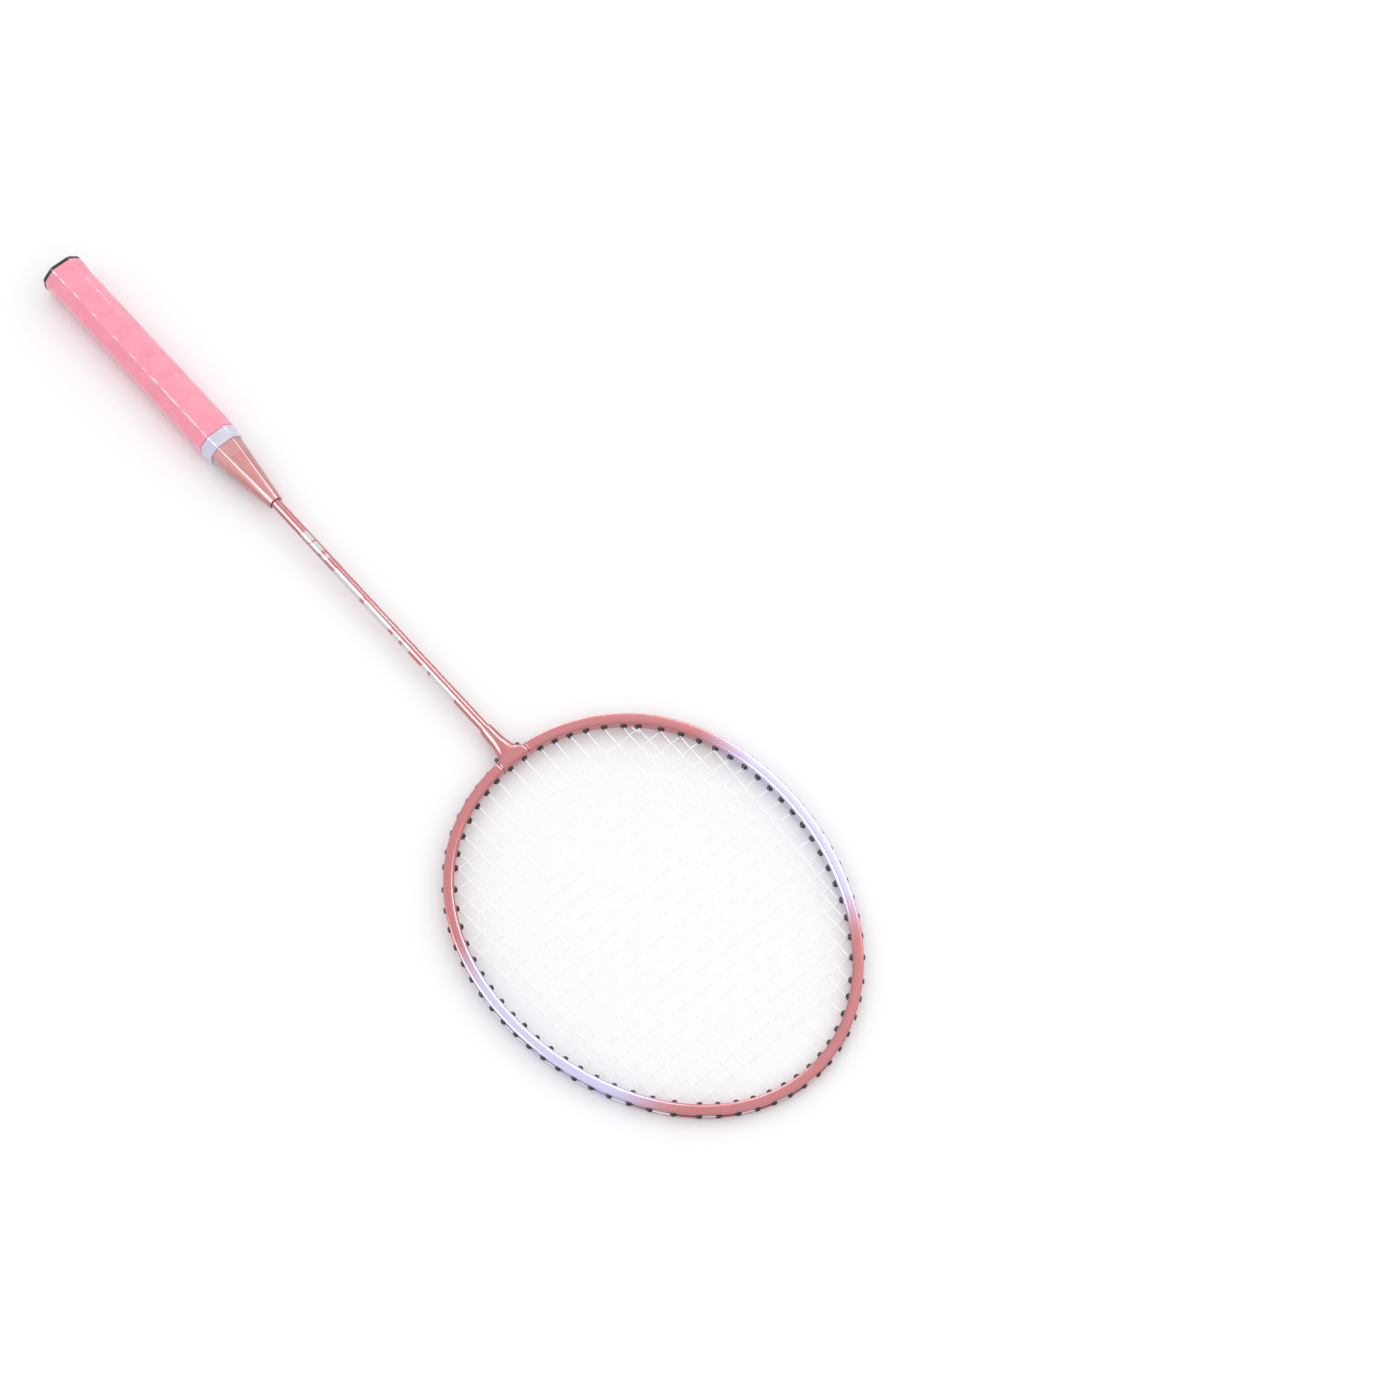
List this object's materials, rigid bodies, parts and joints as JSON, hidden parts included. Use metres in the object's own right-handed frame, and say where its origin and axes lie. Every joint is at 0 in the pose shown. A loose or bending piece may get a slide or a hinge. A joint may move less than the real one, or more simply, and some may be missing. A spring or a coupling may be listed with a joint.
{
  "type": "badminton racket",
  "caption": "Badminton racket with a strung oval head, a T-joint, a slim tubular shaft, a tapered cone and a wrapped octagonal handle.",
  "frame": {"origin": "middle of the butt cap's flat end", "axes": "+Y along the racket from the butt cap to the tip of the head, +X across the head, +Z square to the string bed"},
  "size_m": [0.2092, 0.6636, 0.0236],
  "materials": {
    "black_cap_plastic": "semi-gloss black",
    "handle_wood": "bare light wood",
    "pink_grip_wrap": "soft matte synthetic leather",
    "pale_tape": "pale lavender adhesive tape",
    "clear_film": "clear shrink film",
    "rose_pearl_plastic": "pearl rose moulded plastic",
    "rose_metallic_paint": "metallic rose paint on steel",
    "rose_hoop_paint": "metallic rose paint fading to lavender at the sides",
    "black_nylon": "satin black nylon",
    "white_string": "white synthetic string"
  },
  "bodies": {
    "root": {"butt_cap": "black_cap_plastic", "handle_core": "handle_wood", "grip_wrap": "pink_grip_wrap", "finishing_band": "pale_tape", "grip_film": "clear_film", "handle_cone": "rose_pearl_plastic", "shaft": "rose_metallic_paint", "t_joint": "rose_metallic_paint", "head_hoop": "rose_hoop_paint", "main_string": "white_string", "cross_string": "white_string", "grommet_right_01": "black_nylon", "grommet_right_02": "black_nylon", "grommet_right_03_04": "black_nylon", "grommet_right_05_06": "black_nylon", "grommet_right_07_08": "black_nylon", "grommet_right_09_10": "black_nylon", "grommet_right_11_12": "black_nylon", "grommet_right_13_14": "black_nylon", "grommet_right_15_16": "black_nylon", "grommet_right_17_18": "black_nylon", "grommet_right_19_20": "black_nylon", "grommet_right_21_22": "black_nylon", "grommet_right_23_24": "black_nylon", "grommet_right_25_26": "black_nylon", "grommet_right_27_28": "black_nylon", "grommet_right_29_30": "black_nylon", "grommet_right_31_32": "black_nylon", "grommet_right_33_34": "black_nylon", "grommet_left_01": "black_nylon", "grommet_left_02": "black_nylon", "grommet_left_03_04": "black_nylon", "grommet_left_05_06": "black_nylon", "grommet_left_07_08": "black_nylon", "grommet_left_09_10": "black_nylon", "grommet_left_11_12": "black_nylon", "grommet_left_13_14": "black_nylon", "grommet_left_15_16": "black_nylon", "grommet_left_17_18": "black_nylon", "grommet_left_19_20": "black_nylon", "grommet_left_21_22": "black_nylon", "grommet_left_23_24": "black_nylon", "grommet_left_25_26": "black_nylon", "grommet_left_27_28": "black_nylon", "grommet_left_29_30": "black_nylon", "grommet_left_31_32": "black_nylon", "grommet_left_33_34": "black_nylon"}
  },
  "joints": []
}
